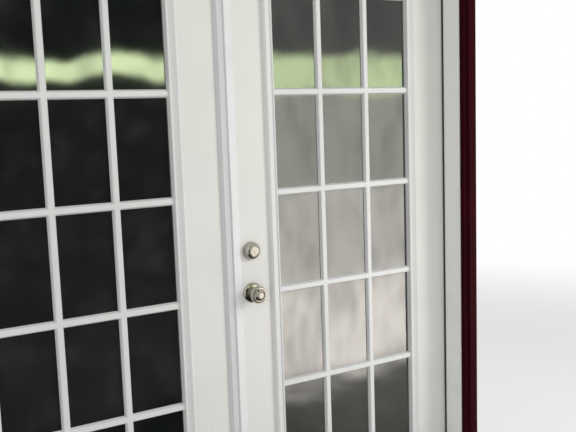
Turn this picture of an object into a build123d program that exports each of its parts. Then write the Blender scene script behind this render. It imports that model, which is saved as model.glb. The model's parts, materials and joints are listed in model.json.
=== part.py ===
"""A pair of glazed entrance doors, hung in their own frame to swing inwards.

X runs across the opening, -Y is the outside, +Z is up. The origin is the middle of the sill's underside,
in the plane of the leaves' outer faces. The right leaf is the active one and carries the locks. The left
leaf is the passive one, with flush bolts and strikes in the post on its edge. A split astragal covers the
meeting line from outside: one half on each leaf, so that each leaf opens by itself.
"""

import math
import os

from build123d import *

os.makedirs("parts", exist_ok=True)

# Leaves
leaf_width = 908.0
leaf_height = 2007.0
leaf_thickness = 44.5
leaf_edge_ease = 1.0
meeting_gap = 13.4
hinge_gap = 3.0
head_gap = 3.0
sill_gap = 6.0

# Borders of a leaf, from its edges to the glass that the eye sees, and the lites between the bars
stile_width = 179.5
top_rail = 150.0
bottom_rail = 235.0
lite_columns = 3
lite_rows = 5

# Double glazing
pane_thickness = 4.0
glazing_thickness = 25.4
glazing_cover = 12.0
glazing_margin = 5.5
spacer_width = 9.0
spacer_inset = 1.0

# Lite frame moulding, across its face from the glass outwards
moulding_width = 42.0
moulding_height = 12.0
moulding_edge = 2.0
moulding_crest = 30.5
bead_foot = 3.2
bead_width = 8.0
bead_base = 4.2
bead_height = 8.4
quirk_height = 5.0
muntin_width = 26.0
muntin_face = 14.0
muntin_height = 11.5
muntin_bevel = 2.5
muntin_root = 7.0

# Frame
jamb_depth = 133.4
jamb_thickness = 31.75
stop_height = 8.0
stop_setback = 8.0
kerf_width = 3.0
kerf_depth = 10.0
mould_reveal = 4.0
mould_width = 50.8
mould_thickness = 31.75
mould_edge = 19.0
mould_cove = 13.0
mould_round = 4.0

# Sill
sill_nose = 24.0
sill_nose_height = 12.0
sill_ridge = 26.0
sill_ridge_place = 12.0
sill_seat = 20.0
cap_height = 12.0
cap_bevel = 4.0

# Seals
seal_clearance = 0.3
bulb_width = 10.8
bulb_reach = 3.7
bulb_round = 3.0
stem_clearance = 0.3
sweep_base = 2.0
sweep_width = 40.0
sweep_fins = 3
sweep_fin = 2.0
barb_width = 2.4
barb_depth = 9.0
barb_spacing = 26.0
barb_slot_clearance = 0.2

# Hinges
hinge_below = 330.0
hinge_above = 229.0
hinge_height = 101.6
hinge_plate_width = 36.0
hinge_plate = 2.5
hinge_corner = 15.9
knuckle_radius = 7.0
knuckle_count = 5
knuckle_gap = 0.3
knuckle_face_gap = 0.5
pin_radius = 3.9
pin_clearance = 0.05
pin_head_radius = 5.5
pin_head_height = 3.5

# Split astragal
astragal_gap = 3.0
flange_left = 27.0
flange_right = 37.5
flange_height = 11.0
flange_edge = 2.0
flange_flat_left = 15.5
flange_flat_right = 9.8
flange_hollow = 0.6
flange_bevel = 0.8
flange_side = 5.5
flange_round = 1.2
flange_head_cut = 12.0
pile_width = 5.0
pile_proud = 1.2
pile_stem = 2.5
pile_stem_width = 2.4
pile_inset = 1.2

# Flush bolts in the post
bolt_length = 215.0
bolt_travel = 15.0
bolt_setback = 1.0
bolt_foot_width = 9.0
bolt_foot_depth = 3.0
bolt_neck_width = 6.0
bolt_depth = 6.4
bolt_clearance = 0.2
bolt_notch_length = 30.0
bolt_notch_depth = 2.0
bolt_notch_place = 60.0
bolt_strike_length = 60.0
bolt_strike_width = 25.0
bolt_strike_thickness = 1.6
bolt_pocket_margin = 1.5
bolt_pocket_end = 2.0

# Lock bores
backset = 69.85
latch_height = 887.0
bore_spacing = 139.7
cross_bore_radius = 27.0
edge_bore_radius = 12.7
faceplate_width = 25.4
faceplate_height = 57.2
faceplate_thickness = 2.2
faceplate_corner = 6.0
case_clearance = 0.2
case_tongue_height = 16.0
case_tongue_past_hub = 14.0
hub_hole_radius = 6.5

# Latch and deadbolt
latch_travel = 12.7
latch_bolt_height = 17.0
latch_bolt_width = 11.0
latch_point = 3.0
deadbolt_travel = 25.4
deadbolt_bolt_height = 16.0
deadbolt_bolt_width = 13.0
bolt_slide_clearance = 0.2
strike_height = 57.2
strike_width = 28.0
strike_thickness = 1.6
strike_corner = 6.0
strike_hole_margin = 3.0
strike_lip = 6.0
pocket_end_gap = 3.0
mortise_clearance = 0.1

# Knobs and roses
dome_steps = 3
rose_radius = 33.5
rose_edge = 2.5
rose_height = 11.0
rose_collar_radius = 17.5
rose_collar_height = 15.0
knob_radius = 28.5
knob_reach = 62.0
knob_foot = 1.0
knob_neck_radius = 11.0
knob_neck_reach = 24.0
knob_rim_reach = 47.0
knob_rim_width = 6.0
knob_face_radius = 19.0
knob_face_groove = 2.2
knob_plug_radius = 9.5
knob_plug_height = 2.0
knob_running_gap = 0.4
spindle_radius = 5.0
spindle_seat = 14.0
keyway_width = 2.0
keyway_height = 8.0
keyway_depth = 4.0
turn_button_height = 6.0
turn_button_width = 4.0

# Deadbolt trim
collar_radius = 30.0
collar_edge = 3.0
collar_height = 25.0
collar_face_radius = 15.0
collar_shoulder = 8.0
plug_radius = 9.0
plug_clearance = 0.05
plug_proud = 0.8
tailpiece_width = 7.0
tailpiece_thickness = 2.4
tailpiece_seat = 6.0
inner_plate_radius = 30.0
inner_plate_height = 9.0
inner_plate_bevel = 3.0
turn_hub_radius = 11.0
turn_reach = 24.0
turn_length = 36.0
turn_thickness = 9.0
turn_gap = 0.4

# Places worked out from the sizes above
leaf_centre = (leaf_width + meeting_gap) / 2
hinge_edge = leaf_centre + leaf_width / 2
meeting_edge = meeting_gap / 2
rabbet = hinge_edge + hinge_gap
stop_face = rabbet - stop_height
jamb_back = stop_face + jamb_thickness
inner_plane = leaf_thickness
outer_plane = leaf_thickness - jamb_depth
stop_plane = -stop_setback
cap_top = sill_seat + cap_height
leaf_bottom = cap_top + sill_gap
leaf_top = leaf_bottom + leaf_height
head_rabbet = leaf_top + head_gap
head_stop = head_rabbet - stop_height
head_top = head_stop + jamb_thickness
sight_width = leaf_width - 2 * stile_width
sight_height = leaf_height - bottom_rail - top_rail
sight_base = leaf_bottom + bottom_rail
sight_middle = sight_base + sight_height / 2
column_pitch = (sight_width + muntin_width) / lite_columns
row_pitch = (sight_height + muntin_width) / lite_rows
glass_inset = (leaf_thickness - glazing_thickness) / 2
cutout_cover = glazing_cover + glazing_margin
leg_face = meeting_edge - astragal_gap
middle_plane = leaf_thickness / 2
lock_x = meeting_edge + backset
latch_z = leaf_bottom + latch_height
deadbolt_z = latch_z + bore_spacing
mould_inner = stop_face + mould_reveal
mould_outer = mould_inner + mould_width
head_mould_inner = head_stop + mould_reveal
hinge_axis_x = hinge_edge + hinge_gap / 2
hinge_axis_y = leaf_thickness + knuckle_radius + knuckle_face_gap
knuckle_pitch = hinge_height / knuckle_count
low_hinge = leaf_bottom + hinge_below
high_hinge = leaf_top - hinge_above
hinge_centres = (low_hinge, (low_hinge + high_hinge) / 2, high_hinge)


def finish(piece, label):
    """Name a piece and write its STEP file."""
    piece.part.label = label
    export_step(piece.part, f"parts/{label}.step")


def outline(*points):
    """Close a polygon in the current sketch."""
    with BuildLine() as border:
        Polyline(*points, close=True)
    make_face(border.edges())


# Side jambs: one rabbeted board each, with a kerf for the weatherstrip beside the stop


def jamb_section(side):
    outline(
        (side * stop_face, outer_plane),
        (side * jamb_back, outer_plane),
        (side * jamb_back, inner_plane),
        (side * rabbet, inner_plane),
        (side * rabbet, stop_plane - kerf_depth),
        (side * (rabbet - kerf_width), stop_plane - kerf_depth),
        (side * (rabbet - kerf_width), stop_plane),
        (side * stop_face, stop_plane),
    )


def hinge_plate_outline(z, grow):
    """The plate's outline on a jamb or a leaf edge, round at the two corners away from the knuckles."""
    low = inner_plane - hinge_plate_width - grow
    half = hinge_height / 2 + grow
    with BuildLine() as border:
        FilletPolyline(
            (inner_plane, z - half),
            (low, z - half),
            (low, z + half),
            (inner_plane, z + half),
            radius=hinge_corner,
        )
        Line((inner_plane, z + half), (inner_plane, z - half))
    make_face(border.edges())


def cut_hinge_mortises(face_x, side):
    """Let the three hinge plates into a face at face_x, cutting away from the gap in direction side."""
    for centre in hinge_centres:
        with BuildSketch(Plane.YZ.offset(face_x)) as mortise:
            hinge_plate_outline(centre, mortise_clearance)
        extrude(mortise.sketch, amount=side * hinge_plate, mode=Mode.SUBTRACT)


for side, label in ((-1, "left_jamb"), (1, "right_jamb")):
    with BuildPart() as jamb:
        with BuildSketch(Plane.XY):
            jamb_section(side)
        extrude(amount=head_top)
        cut_hinge_mortises(side * rabbet, side)
    finish(jamb, label)

# Head jamb: the same section laid flat between the side jambs, coped around their stops

bolt_x = leg_face - bolt_depth / 2
pocket_width = bolt_foot_width + 2 * bolt_pocket_margin
pocket_depth = bolt_depth + 2 * bolt_pocket_margin
bolt_pocket = bolt_travel - bolt_setback + bolt_pocket_end

with BuildPart() as head_jamb:
    with BuildSketch(Plane.YZ.offset(-rabbet)):
        outline(
            (outer_plane, head_stop),
            (outer_plane, head_top),
            (inner_plane, head_top),
            (inner_plane, head_rabbet),
            (stop_plane - kerf_depth, head_rabbet),
            (stop_plane - kerf_depth, head_rabbet - kerf_width),
            (stop_plane, head_rabbet - kerf_width),
            (stop_plane, head_stop),
        )
    extrude(amount=2 * rabbet)
    for side in (-1, 1):
        with BuildSketch(Plane.XY.offset(head_stop)):
            with Locations((side * (stop_face + rabbet) / 2, (outer_plane + stop_plane) / 2)):
                Rectangle(stop_height, stop_plane - outer_plane)
        extrude(amount=jamb_thickness, mode=Mode.SUBTRACT)
    with BuildSketch(Plane.XY.offset(head_rabbet)):
        with Locations((bolt_x, middle_plane)):
            Rectangle(bolt_strike_length, bolt_strike_width)
    extrude(amount=bolt_strike_thickness, mode=Mode.SUBTRACT)
    with BuildSketch(Plane.XY.offset(head_rabbet)):
        with Locations((bolt_x, middle_plane)):
            Rectangle(pocket_depth, pocket_width)
    extrude(amount=jamb_thickness, mode=Mode.SUBTRACT)
finish(head_jamb, "head_jamb")

# Sill: an aluminium extrusion that slopes outwards, with a seat for the cap that the leaves close over

sill_front = outer_plane - sill_nose

with BuildPart() as sill:
    with BuildSketch(Plane.YZ.offset(-rabbet)):
        outline(
            (sill_front, 0),
            (sill_front, sill_nose_height),
            (-sill_ridge_place, sill_ridge),
            (-sill_ridge_place, sill_seat),
            (inner_plane, sill_seat),
            (inner_plane, 0),
        )
    extrude(amount=2 * rabbet)
    for side in (-1, 1):
        with BuildSketch(Plane.XY):
            with Locations((side * (stop_face + rabbet) / 2, (sill_front + stop_plane) / 2)):
                Rectangle(stop_height, stop_plane - sill_front)
        extrude(amount=sill_ridge, mode=Mode.SUBTRACT)
finish(sill, "sill")

with BuildPart() as sill_cap:
    with BuildSketch(Plane.YZ.offset(-rabbet)):
        outline(
            (stop_plane, sill_seat),
            (stop_plane, cap_top - cap_bevel),
            (stop_plane + cap_bevel, cap_top),
            (inner_plane - cap_bevel, cap_top),
            (inner_plane, cap_top - cap_bevel),
            (inner_plane, sill_seat),
        )
    extrude(amount=2 * rabbet)
    with BuildSketch(Plane.XY.offset(cap_top)):
        with Locations((bolt_x, middle_plane)):
            Rectangle(bolt_strike_length, bolt_strike_width)
    extrude(amount=-bolt_strike_thickness, mode=Mode.SUBTRACT)
    with BuildSketch(Plane.XY.offset(cap_top)):
        with Locations((bolt_x, middle_plane)):
            Rectangle(pocket_depth, pocket_width)
    extrude(amount=sill_gap - bolt_pocket, mode=Mode.SUBTRACT)
finish(sill_cap, "sill_cap")

# Brick mould: a coved moulding round the outside of the frame, mitred at the two head corners


def mould_section(at):
    """Draw the moulding's section: at(width, projection) gives the sketch point."""
    step = mould_reveal / 2
    diagonal = math.sin(math.pi / 4)
    cove_rise = mould_thickness - mould_edge
    shoulder = mould_width - mould_round
    corner = mould_round * (1 - diagonal)
    with BuildLine() as border:
        Polyline(at(0, 0), at(0, mould_edge), at(step, mould_edge))
        ThreePointArc(
            at(step, mould_edge),
            at(step + mould_cove * diagonal, mould_edge + cove_rise * (1 - diagonal)),
            at(step + mould_cove, mould_thickness),
        )
        Line(at(step + mould_cove, mould_thickness), at(shoulder, mould_thickness))
        ThreePointArc(
            at(shoulder, mould_thickness),
            at(mould_width - corner, mould_thickness - corner),
            at(mould_width, mould_thickness - mould_round),
        )
        Polyline(at(mould_width, mould_thickness - mould_round), at(mould_width, 0), at(0, 0))
    make_face(border.edges())


def mitre(side):
    """The plane through a head corner's mitre, facing up and inwards."""
    corner = (side * mould_inner, outer_plane, head_mould_inner)
    return Plane(origin=corner, x_dir=(0, 1, 0), z_dir=(-side, 0, 1))


for side, label in ((-1, "left_brick_mould"), (1, "right_brick_mould")):
    with BuildPart() as mould:
        with BuildSketch(Plane.XY):
            mould_section(lambda width, out: (side * (mould_inner + width), outer_plane - out))
        extrude(amount=head_mould_inner + mould_width)
        split(bisect_by=mitre(side), keep=Keep.BOTTOM)
    finish(mould, label)

with BuildPart() as head_mould:
    with BuildSketch(Plane.YZ.offset(-mould_outer)):
        mould_section(lambda width, out: (outer_plane - out, head_mould_inner + width))
    extrude(amount=2 * mould_outer)
    for side in (-1, 1):
        split(bisect_by=mitre(side), keep=Keep.TOP)
finish(head_mould, "head_brick_mould")

# Weatherstrips: a soft bulb against the stop, on a stem pressed into the kerf

bulb_depth = stop_setback - seal_clearance
stem_width = kerf_width - 2 * stem_clearance
stem_depth = kerf_depth - 2 * stem_clearance


def weatherstrip_section(at):
    """Draw the strip's section: at(across, outward) counts from the rabbet and from the stop's face."""
    far = kerf_width / 2 + stem_width / 2
    near = kerf_width / 2 - stem_width / 2
    edge = stop_height + bulb_reach
    back = edge - bulb_width
    with BuildLine() as border:
        FilletPolyline(
            at(far, 0),
            at(edge, 0),
            at(edge, -bulb_depth),
            at(back, -bulb_depth),
            at(back, 0),
            radius=bulb_round,
        )
        Polyline(at(back, 0), at(near, 0), at(near, stem_depth), at(far, stem_depth), at(far, 0))
    make_face(border.edges())


strip_low = head_stop - bulb_reach

for side, label in ((-1, "left_weatherstrip"), (1, "right_weatherstrip")):
    with BuildPart() as strip:
        with BuildSketch(Plane.XY.offset(cap_top + seal_clearance)):
            weatherstrip_section(lambda across, out: (side * (rabbet - across), stop_plane - out))
        extrude(amount=strip_low - cap_top - 2 * seal_clearance)
    finish(strip, label)

with BuildPart() as head_strip:
    with BuildSketch(Plane.YZ.offset(seal_clearance - rabbet)):
        weatherstrip_section(lambda across, out: (stop_plane - out, head_rabbet - across))
    extrude(amount=2 * (rabbet - seal_clearance))
    for side in (-1, 1):
        with BuildSketch(Plane.YZ.offset(side * rabbet)):
            with Locations((stop_plane - kerf_depth / 2, head_rabbet - kerf_width / 2)):
                Rectangle(kerf_depth, kerf_width)
        extrude(amount=-side * (stop_height + seal_clearance), mode=Mode.SUBTRACT)
finish(head_strip, "head_weatherstrip")

# Strikes for the flush bolts, let in flush

for z, label in ((head_rabbet, "head_bolt_strike"), (cap_top - bolt_strike_thickness, "sill_bolt_strike")):
    with BuildPart() as bolt_strike:
        with BuildSketch(Plane.XY.offset(z)):
            with Locations((bolt_x, middle_plane)):
                Rectangle(bolt_strike_length, bolt_strike_width)
                Rectangle(pocket_depth, pocket_width, mode=Mode.SUBTRACT)
        extrude(amount=bolt_strike_thickness)
    finish(bolt_strike, label)

# Hinges: butt hinges with interleaved knuckles, one group of three for each side


def hinge_leaves(side, on_door):
    """Three hinge leaves of one side, on the jamb or on the door."""
    face = side * (hinge_edge - hinge_plate if on_door else rabbet)
    if side < 0:
        face = side * (hinge_edge if on_door else rabbet + hinge_plate)
    first_row = 1 if on_door else 0
    with BuildPart() as leaves:
        for centre in hinge_centres:
            base = centre - hinge_height / 2
            with BuildSketch(Plane.YZ.offset(face)):
                hinge_plate_outline(centre, 0)
            extrude(amount=hinge_plate)
            for row in range(first_row, knuckle_count, 2):
                with BuildSketch(Plane.XY.offset(base + row * knuckle_pitch + knuckle_gap / 2)):
                    with Locations((side * hinge_axis_x, hinge_axis_y)):
                        Circle(knuckle_radius)
                    with Locations((face + hinge_plate / 2, (inner_plane + hinge_axis_y) / 2)):
                        Rectangle(hinge_plate, hinge_axis_y - inner_plane)
                extrude(amount=knuckle_pitch - knuckle_gap)
            with BuildSketch(Plane.XY.offset(base)):
                with Locations((side * hinge_axis_x, hinge_axis_y)):
                    Circle(pin_radius + pin_clearance)
            extrude(amount=hinge_height, mode=Mode.SUBTRACT)
    return leaves


def hinge_pins(side):
    """Three loose pins, each with a round head on top."""
    with BuildPart() as pins:
        for centre in hinge_centres:
            base = centre - hinge_height / 2
            for z, height, radius in (
                (base, hinge_height, pin_radius),
                (base + hinge_height, pin_head_height, pin_head_radius),
            ):
                with BuildSketch(Plane.XY.offset(z)):
                    with Locations((side * hinge_axis_x, hinge_axis_y)):
                        Circle(radius)
                extrude(amount=height)
    return pins


for side, name in ((-1, "left"), (1, "right")):
    finish(hinge_leaves(side, False), f"{name}_hinge_frame_leaves")
    finish(hinge_leaves(side, True), f"{name}_hinge_door_leaves")
    finish(hinge_pins(side), f"{name}_hinge_pins")

# Leaves: foam-cored slabs with a cut-out for the glazing, let in for hinges, locks and the bottom sweep

latch_pocket = meeting_edge - latch_travel - pocket_end_gap
deadbolt_pocket = meeting_edge - deadbolt_travel - pocket_end_gap
cutout_width = sight_width + 2 * cutout_cover
cutout_height = sight_height + 2 * cutout_cover
bolts = (
    ("latch", latch_z, latch_bolt_height, latch_bolt_width, latch_pocket),
    ("deadbolt", deadbolt_z, deadbolt_bolt_height, deadbolt_bolt_width, deadbolt_pocket),
)


def rounded_plate(z, width, height, corner):
    """A round-cornered plate's outline on a leaf edge."""
    with Locations((middle_plane, z)):
        RectangleRounded(width, height, corner)


def cut_slab_body(side):
    """The slab's outline, cut-out, eased edges, hinge mortises and sweep slots."""
    with BuildSketch(Plane.XZ) as face:
        with Locations((side * leaf_centre, leaf_bottom + leaf_height / 2)):
            Rectangle(leaf_width, leaf_height)
        with Locations((side * leaf_centre, sight_middle)):
            Rectangle(cutout_width, cutout_height, mode=Mode.SUBTRACT)
    solid = extrude(face.sketch, amount=-leaf_thickness)
    uprights = solid.edges().filter_by(Axis.Z).group_by(Axis.X)
    chamfer(uprights[0] + uprights[-1], leaf_edge_ease)
    cut_hinge_mortises(side * hinge_edge, -side)
    for place in (-1, 1):
        with BuildSketch(Plane.XY.offset(leaf_bottom)) as slot:
            with Locations((side * leaf_centre, middle_plane + place * barb_spacing / 2)):
                Rectangle(leaf_width, barb_width + 2 * barb_slot_clearance)
        extrude(slot.sketch, amount=barb_depth + barb_slot_clearance, mode=Mode.SUBTRACT)


with BuildPart() as left_slab:
    cut_slab_body(-1)
    for bolt, z, height, width, end in bolts:
        with BuildSketch(Plane.YZ.offset(-meeting_edge)):
            with Locations((middle_plane, z)):
                Rectangle(width + 2 * strike_hole_margin, height + 2 * strike_hole_margin)
        extrude(amount=end + meeting_edge, mode=Mode.SUBTRACT)
finish(left_slab, "left_slab")

with BuildPart() as right_slab:
    cut_slab_body(1)
    for z in (latch_z, deadbolt_z):
        with BuildSketch(Plane.XZ):
            with Locations((lock_x, z)):
                Circle(cross_bore_radius)
        extrude(amount=-leaf_thickness, mode=Mode.SUBTRACT)
        with BuildSketch(Plane.YZ.offset(meeting_edge)):
            with Locations((middle_plane, z)):
                Circle(edge_bore_radius)
        extrude(amount=backset, mode=Mode.SUBTRACT)
        with BuildSketch(Plane.YZ.offset(meeting_edge)):
            grow = 2 * mortise_clearance
            rounded_plate(z, faceplate_width + grow, faceplate_height + grow, faceplate_corner)
        extrude(amount=faceplate_thickness, mode=Mode.SUBTRACT)
finish(right_slab, "right_slab")

# Bottom sweeps: a soft plate on two barbs, with fins that hang just clear of the sill cap

for side, label in ((-1, "left_door_sweep"), (1, "right_door_sweep")):
    with BuildPart() as door_sweep:
        with BuildSketch(Plane.YZ.offset(side * leaf_centre - leaf_width / 2 + hinge_gap)):
            with Locations((middle_plane, leaf_bottom - sweep_base / 2)):
                Rectangle(sweep_width, sweep_base)
            fin_foot = cap_top + seal_clearance
            fin_height = leaf_bottom - fin_foot
            with Locations((middle_plane, fin_foot + fin_height / 2)):
                with GridLocations((sweep_width - sweep_fin) / (sweep_fins - 1), 1, sweep_fins, 1):
                    Rectangle(sweep_fin, fin_height)
            with Locations((middle_plane, leaf_bottom + barb_depth / 2)):
                with GridLocations(barb_spacing, 1, 2, 1):
                    Rectangle(barb_width, barb_depth)
        extrude(amount=leaf_width - 2 * hinge_gap)
    finish(door_sweep, label)

# Glazing: two panes and the spacer that holds them apart, for each leaf

pane_width = sight_width + 2 * glazing_cover
pane_height = sight_height + 2 * glazing_cover


def glazing_layer(side, front, thickness, ring):
    """A pane, or the spacer ring between the panes, from the plane front inwards."""
    with BuildPart() as layer:
        with BuildSketch(Plane.XZ.offset(-front)):
            with Locations((side * leaf_centre, sight_middle)):
                if ring:
                    outer = 2 * spacer_inset
                    inner = outer + 2 * spacer_width
                    Rectangle(pane_width - outer, pane_height - outer)
                    Rectangle(pane_width - inner, pane_height - inner, mode=Mode.SUBTRACT)
                else:
                    Rectangle(pane_width, pane_height)
        extrude(amount=-thickness)
    return layer


air_gap = glazing_thickness - 2 * pane_thickness
for side, name in ((-1, "left"), (1, "right")):
    outer_pane = glazing_layer(side, glass_inset, pane_thickness, False)
    finish(outer_pane, f"{name}_outer_pane")
    spacer = glazing_layer(side, glass_inset + pane_thickness, air_gap, True)
    finish(spacer, f"{name}_pane_spacer")
    inner_pane = glazing_layer(side, glass_inset + pane_thickness + air_gap, pane_thickness, False)
    finish(inner_pane, f"{name}_inner_pane")

# Lite frames: a moulded ring with its glazing bars in one piece, outside and inside each leaf

leg_width = cutout_cover - mortise_clearance * 5
crest_round = 2.5


def lite_frame(side, face, out):
    """A lite frame on the slab face at y = face, standing off in the direction out (-1 or 1)."""
    centre = side * leaf_centre

    def at(across, height):
        return (across, face + out * height)

    glass = -glass_inset
    bead_end = bead_foot + bead_width
    ramp_end = moulding_crest - crest_round
    crest_side = moulding_height - 1
    brow_end = moulding_width - moulding_edge
    with BuildPart() as frame:
        low, high = sight_base, sight_base + sight_height
        left, right = centre - sight_width / 2, centre + sight_width / 2
        with BuildLine(Plane.XZ) as path:
            Polyline(
                (centre, low), (right, low), (right, high), (left, high), (left, low), (centre, low)
            )
        with BuildSketch(Plane(origin=(centre, 0, low), x_dir=(0, 0, -1), z_dir=(1, 0, 0))):
            with BuildLine():
                Line(at(0, glass), at(bead_foot, bead_base))
                ThreePointArc(
                    at(bead_foot, bead_base),
                    at(bead_foot + bead_width / 2, bead_height),
                    at(bead_end, quirk_height),
                )
                ThreePointArc(
                    at(bead_end, quirk_height),
                    at((bead_end + ramp_end) / 2, (quirk_height + crest_side) / 2 - crest_round / 4),
                    at(ramp_end, crest_side),
                )
                ThreePointArc(
                    at(ramp_end, crest_side),
                    at(moulding_crest, moulding_height),
                    at(moulding_crest + crest_round, crest_side),
                )
                ThreePointArc(
                    at(moulding_crest + crest_round, crest_side),
                    at((moulding_crest + crest_round + brow_end) / 2 + 1, moulding_height * 0.66),
                    at(brow_end, moulding_edge * 1.5),
                )
                Polyline(
                    at(brow_end, moulding_edge * 1.5),
                    at(moulding_width, moulding_edge),
                    at(moulding_width, 0),
                    at(leg_width, 0),
                    at(leg_width, glass),
                    at(0, glass),
                )
            make_face()
        sweep(path=path.wires()[0], transition=Transition.RIGHT)
        top = glass + muntin_height
        for column in range(1, lite_columns):
            x = centre + (column - lite_columns / 2) * column_pitch
            with BuildSketch(Plane.XY.offset(low - muntin_root)):
                muntin_section(lambda across, height: (x + across, face + out * height), glass, top)
            extrude(amount=sight_height + 2 * muntin_root)
        for row in range(1, lite_rows):
            z = sight_middle + (row - lite_rows / 2) * row_pitch
            with BuildSketch(Plane.YZ.offset(left - muntin_root)):
                muntin_section(lambda across, height: (face + out * height, z + across), glass, top)
            extrude(amount=sight_width + 2 * muntin_root)
    return frame


def muntin_section(at, glass, top):
    """A glazing bar's section: sloping sides up to a flat face with bevelled shoulders."""
    half_foot, half_face = muntin_width / 2, muntin_face / 2
    half_shoulder, shoulder = half_face + muntin_bevel, top - muntin_bevel
    outline(
        at(-half_foot, glass),
        at(-half_shoulder, shoulder),
        at(-half_face, top),
        at(half_face, top),
        at(half_shoulder, shoulder),
        at(half_foot, glass),
    )


for side, name in ((-1, "left"), (1, "right")):
    finish(lite_frame(side, 0, -1), f"{name}_outer_lite_frame")
    finish(lite_frame(side, leaf_thickness, 1), f"{name}_inner_lite_frame")

# Split astragal: a post on the passive leaf's edge, and a moulding outside on each leaf

flange_top = leaf_top - flange_head_cut
flange_hollow_x = (leg_face - flange_flat_left) / 2
pile_y = inner_plane - pile_inset - pile_width / 2


def strike_outline(z, lip, grow):
    """A strike's outline, with a lip out to the inner face where the latch rides in."""
    rounded_plate(z, strike_width + 2 * grow, strike_height + 2 * grow, strike_corner)
    if lip:
        half = latch_bolt_height / 2 + strike_hole_margin + strike_lip + grow
        with Locations(((middle_plane + inner_plane) / 2, z)):
            Rectangle(inner_plane - middle_plane, 2 * half)


def bolt_channel_section(grow):
    """The T-shaped section of a flush bolt in the post's edge, or of its channel, larger by grow."""
    root = leg_face - bolt_depth
    with Locations((root + bolt_foot_depth / 2, middle_plane)):
        Rectangle(bolt_foot_depth + 2 * grow, bolt_foot_width + 2 * grow)
    with Locations((leg_face - bolt_depth / 2 - bolt_clearance + grow, middle_plane)):
        Rectangle(bolt_depth, bolt_neck_width + 2 * grow)


def cut_round_latch_lip(amount):
    """Cut a strip on the post's edge away where the latch strike's lip crosses it."""
    half = latch_bolt_height / 2 + strike_hole_margin + strike_lip + 2 * mortise_clearance
    with BuildSketch(Plane.YZ.offset(leg_face - pile_stem)) as window:
        with Locations((pile_y, latch_z)):
            Rectangle(2 * pile_width, 2 * half)
    extrude(window.sketch, amount=amount, mode=Mode.SUBTRACT)


bolt_ends = (("top", leaf_top - bolt_setback - bolt_length), ("bottom", leaf_bottom + bolt_setback))

with BuildPart() as astragal_post:
    with BuildSketch(Plane.XY.offset(leaf_bottom)):
        with Locations(((leg_face - meeting_edge) / 2, middle_plane)):
            Rectangle(leg_face + meeting_edge, leaf_thickness)
    extrude(amount=leaf_height)
    for end, z in bolt_ends:
        low = z if end == "top" else leaf_bottom
        with BuildSketch(Plane.XY.offset(low)):
            bolt_channel_section(bolt_clearance)
        extrude(amount=bolt_length + bolt_setback, mode=Mode.SUBTRACT)
    for bolt, z, height, width, end in bolts:
        with BuildSketch(Plane.YZ.offset(leg_face)):
            strike_outline(z, bolt == "latch", mortise_clearance)
        extrude(amount=-strike_thickness, mode=Mode.SUBTRACT)
        with BuildSketch(Plane.YZ.offset(leg_face)):
            with Locations((middle_plane, z)):
                Rectangle(width + 2 * strike_hole_margin, height + 2 * strike_hole_margin)
        extrude(amount=-leg_face - meeting_edge, mode=Mode.SUBTRACT)
    with BuildSketch(Plane.XY.offset(leaf_bottom)):
        with Locations((leg_face - pile_stem / 2, pile_y)):
            Rectangle(pile_stem, pile_stem_width + 2 * mortise_clearance)
    extrude(amount=leaf_height, mode=Mode.SUBTRACT)
finish(astragal_post, "astragal_post")

with BuildPart() as passive_astragal:
    with BuildSketch(Plane.XY.offset(leaf_bottom)):
        with BuildLine():
            Polyline((leg_face, 0), (-flange_left, 0), (-flange_left, -flange_edge))
            ThreePointArc(
                (-flange_left, -flange_edge),
                (-(flange_left + flange_flat_left) / 2 - flange_edge / 4, -flange_height * 0.62),
                (-flange_flat_left, -flange_height),
            )
            ThreePointArc(
                (-flange_flat_left, -flange_height),
                (flange_hollow_x, flange_hollow - flange_height),
                (leg_face - flange_bevel, -flange_height),
            )
            Line((leg_face - flange_bevel, -flange_height), (leg_face, 0))
        make_face()
    extrude(amount=flange_top - leaf_bottom)
finish(passive_astragal, "passive_astragal")

with BuildPart() as active_astragal:
    with BuildSketch(Plane.XY.offset(leaf_bottom)):
        outline(
            (meeting_edge, 0),
            (meeting_edge + flange_bevel, -flange_height),
            (flange_flat_right, -flange_height),
            (flange_right - flange_round, -flange_side),
            (flange_right, flange_round - flange_side),
            (flange_right, 0),
        )
    extrude(amount=flange_top - leaf_bottom)
finish(active_astragal, "active_astragal")

with BuildPart() as astragal_pile:
    with BuildSketch(Plane.XY.offset(leaf_bottom)):
        with Locations((leg_face + pile_proud / 2, pile_y)):
            Rectangle(pile_proud, pile_width)
        with Locations((leg_face - pile_stem / 2, pile_y)):
            Rectangle(pile_stem, pile_stem_width)
    extrude(amount=leaf_height)
    cut_round_latch_lip(pile_stem + pile_proud)
finish(astragal_pile, "astragal_weatherstrip")

for bolt, z, height, width, end in bolts:
    with BuildPart() as strike:
        with BuildSketch(Plane.YZ.offset(leg_face - strike_thickness)):
            strike_outline(z, bolt == "latch", 0)
            with Locations((middle_plane, z)):
                hole = 2 * (strike_hole_margin - 1)
                Rectangle(width + hole, height + hole, mode=Mode.SUBTRACT)
        extrude(amount=strike_thickness)
    finish(strike, f"{bolt}_strike")

for end, z in bolt_ends:
    with BuildPart() as flush_bolt:
        with BuildSketch(Plane.XY.offset(z)):
            bolt_channel_section(0)
        extrude(amount=bolt_length)
        notch = z + bolt_notch_place if end == "top" else z + bolt_length - bolt_notch_place
        with BuildSketch(Plane.XY.offset(notch - bolt_notch_length / 2)):
            with Locations((leg_face - bolt_clearance, middle_plane)):
                Rectangle(2 * bolt_notch_depth, bolt_neck_width)
        extrude(amount=bolt_notch_length, mode=Mode.SUBTRACT)
    finish(flush_bolt, f"{end}_flush_bolt")

# Latch and deadbolt cases: a faceplate, a tube in the edge bore and a tongue that holds the turning hub

case_radius = edge_bore_radius - case_clearance
tube_end = lock_x - cross_bore_radius
channel_end = tube_end - faceplate_thickness * 2

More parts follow.
